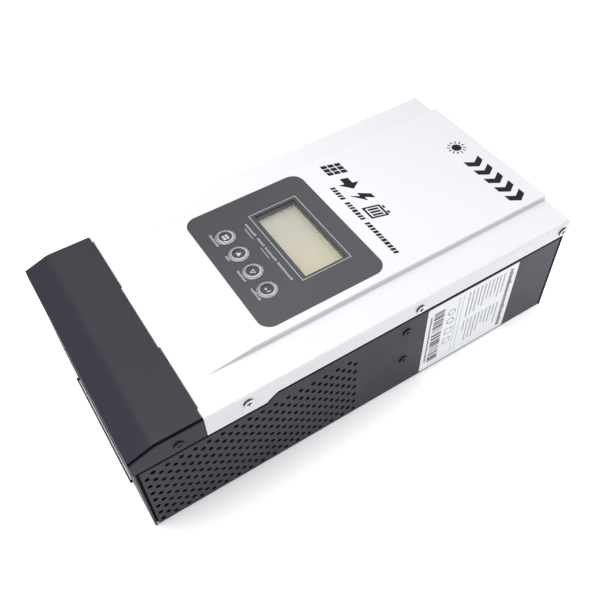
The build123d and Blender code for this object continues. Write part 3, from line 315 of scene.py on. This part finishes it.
def display_bezel():
    """The well around the display: black at the top, lit by the display at the bottom."""
    made, tree, shader = new_material("black_bezel")
    place = object_place(tree)
    low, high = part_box("display_bezel")
    height = rescaled(tree, parts_of(tree, place)["Z"], (low.z, high.z))
    tree.links.new(ramp(tree, height, ((0.0, (0.17, 0.16, 0.12)), (0.45, (0.075, 0.073, 0.065)),
                                       (1.0, (0.035, 0.036, 0.038)))),
                   shader.inputs["Base Color"])
    tree.links.new(spread(tree, noise(tree, place, 1.0 * MM), 0.5, 0.65), shader.inputs["Roughness"])
    shader.inputs["Specular IOR Level"].default_value = 0.2
    return made


def display_glass():
    """A reflective liquid crystal cell, warmer towards the near side, with a faint cell pattern."""
    made, tree, shader = new_material("display_glass")
    place = object_place(tree)
    low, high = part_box("lcd_glass")
    across = rescaled(tree, parts_of(tree, place)["Y"], (low.y, high.y))
    tree.links.new(ramp(tree, across, ((0.0, (0.435, 0.395, 0.28)), (1.0, (0.365, 0.35, 0.30)))),
                   shader.inputs["Base Color"])
    tree.links.new(spread(tree, noise(tree, place, 0.01), 0.28, 0.36), shader.inputs["Roughness"])
    relief(tree, shader, noise(tree, place, 3 * MM), 0.002 * MM)
    return made


def button_rubber(node):
    """A dark middle, a narrow bright ring at the rim of the dish, and a cloudy grey skirt."""
    low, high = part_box(node)
    middle = (low + high) / 2
    made, tree, shader = new_material("button_finish_" + node[-1])
    place = object_place(tree)
    away = with_vector(tree, "SUBTRACT", place, (middle.x, middle.y, 0))["Vector"]
    flat = with_vector(tree, "MULTIPLY", away, (1, 1, 0))["Vector"]
    radius = with_vector(tree, "LENGTH", flat)["Value"]
    dark, bright, skirt = (0.035, 0.035, 0.038), (0.40, 0.40, 0.41), (0.15, 0.15, 0.155)
    rings = ((4.25, dark), (4.6, bright), (5.0, bright), (5.4, skirt), (5.9, tinted(skirt, 0.1)),
             (6.3, tinted(skirt, 0.8)), (6.8, tinted(skirt, -0.2)), (BUTTON_REACH, dark))
    share = reckon(tree, "MULTIPLY", radius, 1.0 / (BUTTON_REACH * MM))
    colour = ramp(tree, share, [(ring / BUTTON_REACH, tone) for ring, tone in rings])
    # the rubber lets more light through towards the near side
    across = reckon(tree, "MULTIPLY", parts_of(tree, flat)["Y"], -1.0 / (12 * MM))
    near = reckon(tree, "ADD", across, 0.5)
    colour = shaded(tree, colour, ramp(tree, near, ((0.1, grey(0.7)), (0.9, grey(1.3)))))
    cloud = spread(tree, noise(tree, place, 1.4 * MM), 0.75, 1.25)
    tree.links.new(shaded(tree, colour, cloud), shader.inputs["Base Color"])
    fine = noise(tree, place, 0.4 * MM)
    tree.links.new(spread(tree, fine, 0.25, 0.4), shader.inputs["Roughness"])
    relief(tree, shader, fine, 0.006 * MM)
    return made


def flange_screw():
    """Zinc-plated screws whose rim mirrors a dark room above and towards the terminal end."""
    made = finish("flange_screw", (0.62, 0.6, 0.59), 0.3, metallic=0.9, mottle=0.08, mottle_size=1.5 * MM,
                  grain=0.25 * MM, height=0.004 * MM)
    tree = made.node_tree
    shader = tree.nodes["Principled BSDF"]
    colour = shader.inputs["Base Color"].links[0].from_socket
    facing = with_vector(tree, "DOT_PRODUCT", surface_normal(tree), (-0.5, 0.0, 0.8))["Value"]
    rim = ramp(tree, facing, ((0.15, grey(1.0)), (0.5, grey(0.1))))
    colour = shaded(tree, shaded(tree, colour, rim), crevice(tree, 0.8 * MM, 0.05))
    tree.links.new(colour, shader.inputs["Base Color"])
    return made


def circuit_board():
    """Green solder mask over tracks that show as slightly raised, lighter lines."""
    made, tree, shader = new_material("circuit_board")
    place = object_place(tree)
    tracks = tree.nodes.new("ShaderNodeTexBrick")
    tracks.inputs["Scale"].default_value = 90.0
    tracks.inputs["Mortar Size"].default_value = 0.03
    tree.links.new(place, tracks.inputs["Vector"])
    tree.links.new(ramp(tree, tracks.outputs["Fac"], ((0.2, (0.012, 0.11, 0.045)), (0.8, (0.03, 0.2, 0.08)))),
                   shader.inputs["Base Color"])
    tree.links.new(spread(tree, noise(tree, place, 0.004), 0.25, 0.4), shader.inputs["Roughness"])
    relief(tree, shader, tracks.outputs["Fac"], 0.03 * MM)
    return made


def galvanised_sheet():
    """Zinc with the flat crystals of hot-dip galvanising."""
    made, tree, shader = new_material("galvanised_sheet")
    place = object_place(tree)
    zinc = crystals(tree, place, 160.0)
    tree.links.new(ramp(tree, zinc, ((0.1, (0.42, 0.43, 0.44)), (0.9, (0.66, 0.67, 0.68)))),
                   shader.inputs["Base Color"])
    tree.links.new(spread(tree, zinc, 0.35, 0.5), shader.inputs["Roughness"])
    relief(tree, shader, noise(tree, place, 0.5 * MM), 0.004 * MM)
    shader.inputs["Metallic"].default_value = 0.9
    return made


SLOT_MATERIALS = {
    "silver_white_paint": silver_white_paint(),
    "black_powder_coat": black_powder_coat("black_powder_coat"),
    "clear_lens": clear_lens(),
    "display_glass": display_glass(),
    "circuit_board": circuit_board(),
    "galvanised_sheet": galvanised_sheet(),
    "grey_overlay": finish("grey_overlay", (0.039, 0.041, 0.045), 0.40, mottle=0.03, grain=0.18 * MM,
                           height=0.003 * MM, far_share=0.58),
    "black_bezel": display_bezel(),
    "backlight_white": finish("backlight_white", (0.8, 0.8, 0.76), 0.4),
    "switch_black": finish("switch_black", (0.02, 0.02, 0.021), 0.42),
    "zinc_steel": finish("zinc_steel", (0.66, 0.65, 0.62), 0.26, metallic=1.0, mottle=0.08,
                         mottle_size=1.5 * MM, grain=0.25 * MM, height=0.004 * MM),
    "black_screw": finish("black_screw", (0.011, 0.011, 0.013), 0.4, grain=0.3 * MM, specular=0.22),
    "label_white": finish("label_white", (0.66, 0.67, 0.69), 0.38, mottle=0.02, grain=0.3 * MM,
                          height=0.002 * MM),
    "rubber_trim": finish("rubber_trim", (0.018, 0.018, 0.019), 0.68, grain=0.4 * MM, height=0.015 * MM),
    "standoff_brass": finish("standoff_brass", (0.72, 0.52, 0.22), 0.28, metallic=1.0, grain=0.3 * MM),
    "insulation_film": finish("insulation_film", (0.5, 0.48, 0.38), 0.4),
    "terminal_plastic": finish("terminal_plastic", (0.022, 0.022, 0.024), 0.5, grain=0.25 * MM),
    "ferrite": finish("ferrite", (0.3, 0.28, 0.08), 0.45, grain=0.4 * MM, height=0.01 * MM),
    "copper_wire": finish("copper_wire", (0.62, 0.26, 0.11), 0.28, metallic=0.85, grain=0.4 * MM,
                          coat=0.5),
    "capacitor_sleeve": finish("capacitor_sleeve", (0.015, 0.02, 0.06), 0.3, coat=0.2),
    "relay_case": finish("relay_case", (0.02, 0.06, 0.18), 0.32),
    "fuse_plastic": finish("fuse_plastic", (0.55, 0.25, 0.02), 0.25),
    "plain_aluminium": finish("plain_aluminium", (0.72, 0.73, 0.74), 0.34, metallic=1.0, grain=0.4 * MM,
                              stretch=ALONG_X),
    "transistor_epoxy": finish("transistor_epoxy", (0.02, 0.02, 0.02), 0.55),
    "fan_plastic": finish("fan_plastic", (0.02, 0.02, 0.021), 0.4, grain=0.5 * MM),
    "ribbon_grey": finish("ribbon_grey", (0.42, 0.42, 0.4), 0.45, stretch=RIBBON_RIDGES, grain=1.0 * MM,
                          height=0.1 * MM),
}


def ink(name, colour, roughness=0.5, grain=0.2 * MM, specular=0.2):
    return finish(name, colour, roughness, grain=grain, height=0.002 * MM, specular=specular)


WHITE_INK = ink("white_ink", (0.42, 0.43, 0.44), 0.45, specular=0.5)
DIM_INK = ink("dim_ink", (0.28, 0.28, 0.285), 0.45, specular=0.5)
BLACK_INK = ink("black_ink", (0.006, 0.006, 0.008), grain=0.25 * MM, specular=0.15)
PALE_INK = ink("pale_ink", (0.22, 0.22, 0.23))
GREY_INK = ink("grey_ink", (0.05, 0.05, 0.055))

for part in frame["record"]["subparts"]:
    node = part["node"]
    slots = frame["nodes"][node].data.materials
    slots.clear()
    if node.startswith("button_cap"):
        slots.append(button_rubber(node))
    elif node == "terminal_cover":
        slots.append(black_powder_coat("terminal_cover_coat", bent_sides=True))
    elif node == "base_tray":
        slots.append(black_powder_coat("tray_coat", (0.021, 0.0203, 0.0278), walls=True, lighter=2.0))
    elif node == "fan_end_panel":
        slots.append(black_powder_coat("fan_panel_coat", coat=(0.004, 0.004, 0.005), gloss=0.06))
    elif node == "cover_screws":
        slots.append(flange_screw())
    else:
        slots.append(SLOT_MATERIALS[part["material_slot"]])


# ------------------------------------------------------------------ prints
CIRCLE_POINTS = 32
LETTER_WIDTHS = (0.45, 0.8)      # of a block, in heights
LETTER_GAP = 0.24                # in heights
TALL_LETTER = 1.3                # in heights
COVER_PAST_TRAY = 1.45 * MM      # how far the terminal cover stands past the tray


def print_plane(origin, reading, up):
    """A print's own frame: x along the reading direction, y up the print, z out of the surface."""
    reading, up = Vector(reading), Vector(up)
    turn = Matrix((reading, up, reading.cross(up))).transposed()
    return Matrix.Translation(origin) @ turn.to_4x4()


def neighbours(outline):
    """The numbers of each point of a closed outline and the one after it."""
    return [(number, (number + 1) % len(outline)) for number in range(len(outline))]


class Print:
    """Flat inked shapes on one surface; each is a thin closed plate, drawn in millimetres."""

    def __init__(self, plane):
        self.plane = plane
        self.mesh = bmesh.new()

    def point(self, x, y, z):
        return self.mesh.verts.new(self.plane @ Vector((x * MM, y * MM, z)))

    def plate(self, outline):
        """An outline given anticlockwise."""
        top = [self.point(x, y, INK) for x, y in outline]
        bottom = [self.point(x, y, -INK) for x, y in outline]
        self.mesh.faces.new(top)
        self.mesh.faces.new(bottom[::-1])
        for here, after in neighbours(outline):
            self.mesh.faces.new((top[here], bottom[here], bottom[after], top[after]))

    def band(self, outer, inner):
        """The band between two outlines with the same number of points."""
        for here, after in neighbours(outer):
            self.plate([outer[here], outer[after], inner[after], inner[here]])

    def bar(self, x_range, y_range, slant=0.0):
        """A rectangle whose points lean along x by slant times their height above y = 0."""
        (left, right), (low, high) = x_range, y_range
        self.plate([(left + slant * low, low), (right + slant * low, low),
                    (right + slant * high, high), (left + slant * high, high)])

    def frame(self, x_range, y_range, width):
        (left, right), (low, high) = x_range, y_range
        self.band([(left, low), (right, low), (right, high), (left, high)],
                  [(left + width, low + width), (right - width, low + width),
                   (right - width, high - width), (left + width, high - width)])

    def disc(self, middle, radius):
        self.plate(circle(middle, radius))

    def word(self, rng, x_range, baseline, height, slant=0.0, tall=0.25):
        """Blocks in place of a word's letters; the share tall of them is taller."""
        x, end = x_range
        while x < end - 0.3 * height:
            width = min(height * rng.uniform(*LETTER_WIDTHS), end - x)
            top = height * TALL_LETTER if rng.random() < tall else height
            self.bar((x, x + width), (baseline, baseline + top), slant)
            x += width + LETTER_GAP * height

    def finish(self, name, material, body):
        """The print as one piece that rides on a body."""
        data = bpy.data.meshes.new(name)
        bmesh.ops.recalc_face_normals(self.mesh, faces=self.mesh.faces)
        self.mesh.to_mesh(data)
        self.mesh.free()
        data.materials.append(material)
        made = bpy.data.objects.new(name, data)
        bpy.context.scene.collection.objects.link(made)
        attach(made, body)


def circle(middle, radius):
    turns = [2 * math.pi * step / CIRCLE_POINTS for step in range(CIRCLE_POINTS)]
    return [(middle[0] + radius * math.cos(turn), middle[1] + radius * math.sin(turn))
            for turn in turns]


COVER_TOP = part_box("front_cover")[1].z
OVERLAY_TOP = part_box("control_overlay")[1].z
TERMINAL_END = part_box("terminal_cover")[0].x + COVER_PAST_TRAY


def front_plane(height):
    """Prints on the front read along -Y, with up along +X and y = 0 at the terminal end."""
    return print_plane((TERMINAL_END, 0, height), (0, -1, 0), (1, 0, 0))


# control panel: window outline, legends and status line
panel = Print(front_plane(OVERLAY_TOP))
panel.frame((-34.9, 32.3), (139.0, 175.2), 0.38)
panel.finish("window_outline", WHITE_INK, HOUSING)
letters = random.Random(4)
legends = Print(front_plane(OVERLAY_TOP))
for start, end in ((-33.7, -21.7), (-11.7, -7.3), (3.4, 13.4), (20.4, 31.4)):
    legends.word(letters, (start, end), 108.8, 1.3)
for start, end in ((-29.8, -16.3), (-14.3, -6.0), (-4.3, 9.2), (11.0, 28.2)):
    legends.word(letters, (start, end), 133.3, 1.3)
for start, end in ((-26.0, -15.3), (-5.7, 5.3)):
    legends.word(letters, (start, end), 131.0, 0.7)
legends.finish("panel_legends", DIM_INK, HOUSING)

# button symbols: menu squares, up, down and enter
DISH_DEPTH = 0.9 * MM


def squares(symbol):
    for x in (-1.95, 0.25):
        for y in (-1.95, 0.25):
            symbol.bar((x, x + 1.7), (y, y + 1.7))


def up(symbol):
    symbol.plate([(-1.9, -1.2), (1.9, -1.2), (0, 2.0)])


def down(symbol):
    symbol.band([(1.9, 1.2), (-1.9, 1.2), (0, -2.0)], [(1.05, 0.75), (-1.05, 0.75), (0, -1.05)])


def enter(symbol):
    symbol.bar((1.5, 2.0), (-0.25, 1.5))
    symbol.bar((-1.0, 2.0), (-0.7, -0.25))
    symbol.plate([(-2.1, -0.475), (-0.9, -1.5), (-0.9, 0.55)])


for number, draw in enumerate((squares, up, down, enter), start=1):
    low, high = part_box(f"button_cap_{number}")
    middle = (low + high) / 2
    symbol = Print(print_plane((middle.x, middle.y, high.z - DISH_DEPTH), (0, -1, 0), (1, 0, 0)))
    draw(symbol)
    symbol.finish(f"button_symbol_{number}", WHITE_INK, f"button_{number}")

# front cover marks: four pictograms, a line of blocks, and a sun with chevrons
SLANT = 0.28
MARK_BASE = 205.5
MARK_HEIGHT = 14.0
marks = Print(front_plane(COVER_TOP))


def pictogram(base_x, points):
    """Points above the marks' base line, leaning with it."""
    return [(base_x + x + SLANT * y, MARK_BASE + y) for x, y in points]


def rectangle(left, low, right, high):
    return [(left, low), (right, low), (right, high), (left, high)]


# solar panel
for column in range(3):
    for row in range(3):
        left, low = 4.1 * column, 4.8 * row
        marks.plate(pictogram(-50.5, rectangle(left, low, left + 3.4, low + 4.1)))
# arrow
marks.plate(pictogram(-33.0, [(0, 4.2), (6.0, 4.2), (6.0, 0), (12.5, MARK_HEIGHT / 2),
                              (6.0, MARK_HEIGHT), (6.0, 9.8), (0, 9.8)]))
# lightning bolt
marks.plate(pictogram(-16.5, [(2.0, 0), (10.5, 8.4), (6.4, 8.4), (9.4, MARK_HEIGHT),
                              (4.4, MARK_HEIGHT), (0.8, 6.2), (4.6, 6.2)]))
# battery: case, cells and poles
marks.band(pictogram(0.0, rectangle(0, 0, 12.0, 12.0)), pictogram(0.0, rectangle(1.5, 1.5, 10.5, 10.5)))
for left in (2.4, 5.2, 8.0):
    marks.plate(pictogram(0.0, rectangle(left, 2.5, left + 1.8, 9.5)))
for left in (1.8, 7.6):
    marks.plate(pictogram(0.0, rectangle(left, 12.4, left + 2.6, MARK_HEIGHT)))
LINE_BASE = 199.0
for start, end in ((-28.0, -13.5), (-10.5, 9.0), (12.5, 45.0)):
    lean = SLANT * LINE_BASE
    marks.word(letters, (start - lean, end - lean), LINE_BASE, 3.4, SLANT, tall=0.0)

# sun and chevrons near the fan end
SUN = Vector((-13.0, 298.0))
RAYS = 12
RAY_CORNERS = ((4.6, -0.55), (7.2, -0.3), (7.2, 0.3), (4.6, 0.55))     # outwards and sideways
CHEVRON_HALF = 6.5
marks.disc(SUN, 3.6)
for ray in range(RAYS):
    angle = 2 * math.pi * ray / RAYS
    outwards = Vector((math.cos(angle), math.sin(angle)))
    sideways = Vector((-math.sin(angle), math.cos(angle)))
    marks.plate([tuple(SUN + outwards * reach + sideways * side) for reach, side in RAY_CORNERS])
for step in range(5):
    left = 2.0 + 10.4 * step
    low, high = SUN.y - CHEVRON_HALF, SUN.y + CHEVRON_HALF
    marks.plate([(left, low), (left + 5.4, low), (left + 9.6, SUN.y), (left + 5.4, high), (left, high),
                 (left + 4.2, SUN.y)])
marks.finish("cover_marks", BLACK_INK, HOUSING)

# rating label: header, lines of blocks, plain shapes and stripes
LABEL_MARGIN = 4.0
label_low, label_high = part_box("rating_label")
label = Print(print_plane((label_high.x, label_low.y, label_high.z), (0, 0, -1), (1, 0, 0)))
label.word(letters, (LABEL_MARGIN, 64.0), -7.0, 3.0)
lines = Print(label.plane)
for line in range(10):
    baseline = -12.0 - 3.3 * line
    lines.word(letters, (LABEL_MARGIN, LABEL_MARGIN + letters.uniform(16, 26)), baseline, 1.1)
    lines.word(letters, (34.0, 34.0 + letters.uniform(12, 27)), baseline, 1.1)
lines.finish("label_lines", PALE_INK, HOUSING)
for rule in (-46.0, -49.5):
    label.bar((LABEL_MARGIN, 63.0), (rule - 0.25, rule))
for x in (15.0, 24.0):
    label.band(circle((x, -55.0), 3.0), circle((x, -55.0), 2.4))
for x in (32.0, 43.0):
    label.frame((x, x + 6.0), (-58.0, -52.0), 0.5)
x = 7.0
while x < 61.0:
    width = letters.choice((0.4, 0.8, 1.2, 2.0))
    label.bar((x, x + width), (-70.0, -61.5))
    x += width + letters.choice((0.4, 0.4, 0.8, 1.4))
label.word(letters, (9.0, 59.0), -73.0, 1.3)
label.finish("label_print", GREY_INK, HOUSING)


# ------------------------------------------------------------------ stage, light and camera
def add_object(name, data):
    made = bpy.data.objects.new(name, data)
    bpy.context.scene.collection.objects.link(made)
    return made


def square_mesh(name, half, height):
    data = bpy.data.meshes.new(name)
    corners = ((-half, -half), (half, -half), (half, half), (-half, half))
    data.from_pydata([(x, y, height) for x, y in corners], [], [(0, 1, 2, 3)])
    return data


def area_light(name, place, aim, size, power):
    data = bpy.data.lights.new(name, "AREA")
    data.shape = "DISK"
    data.size = size
    data.energy = power
    made = add_object(name, data)
    made.location = place
    made.rotation_euler = (Vector(aim) - Vector(place)).to_track_quat("-Z", "Y").to_euler()


def floor_paper():
    """White paper, lit a little from below towards the fan end."""
    made = finish("floor_paper", (0.93, 0.93, 0.93), 0.75, mottle=0.01, mottle_size=0.3, grain=0.002,
                  height=0.01 * MM)
    tree = made.node_tree
    shader = tree.nodes["Principled BSDF"]
    glow = rescaled(tree, parts_of(tree, object_place(tree))["X"], (-0.08, 0.2), (0.1, 0.38))
    tree.links.new(glow, shader.inputs["Emission Strength"])
    shader.inputs["Emission Color"].default_value = (1.0, 1.0, 1.0, 1.0)
    return made


FLOOR_HALF = 6.0
FLOOR_GAP = 0.1 * MM
floor = add_object("floor", square_mesh("floor", FLOOR_HALF, cad_box[0].z - FLOOR_GAP))
floor.data.materials.append(floor_paper())

world = bpy.data.worlds.new("studio")
bpy.context.scene.world = world
world.use_nodes = True
sky = world.node_tree
height = parts_of(sky, sky.nodes.new("ShaderNodeTexCoord").outputs["Generated"])["Z"]
sky.links.new(ramp(sky, height, ((0.0, (0.62, 0.63, 0.66)), (0.9, (0.90, 0.90, 0.92)))),
              sky.nodes["Background"].inputs["Color"])
sky.nodes["Background"].inputs["Strength"].default_value = 1.28

middle = (cad_box[0] + cad_box[1]) / 2
area_light("overhead", place=middle + Vector((-0.28, 0.16, 1.0)), aim=middle + Vector((-0.12, 0, 0)),
           size=0.7, power=7.5)

bpy.context.scene.view_settings.view_transform = "Standard"

# the camera looks down on the near terminal corner, turned a little about its own axis
AZIMUTH = math.radians(-30.32)
ELEVATION = math.radians(50.64)
ROLL = math.radians(-2.54)
CAMERA_PLACE = (-0.16625, -0.2811, 0.4264)
camera = add_object("camera", bpy.data.cameras.new("camera"))
camera.data.lens = 43.49
back = Vector((math.sin(AZIMUTH) * math.cos(ELEVATION), -math.cos(AZIMUTH) * math.cos(ELEVATION),
               math.sin(ELEVATION)))
right = Vector((0, 0, 1)).cross(back).normalized()
camera.matrix_world = (Matrix.Translation(CAMERA_PLACE)
                       @ Matrix((right, back.cross(right), back)).transposed().to_4x4()
                       @ Matrix.Rotation(ROLL, 4, "Z"))
bpy.context.scene.camera = camera
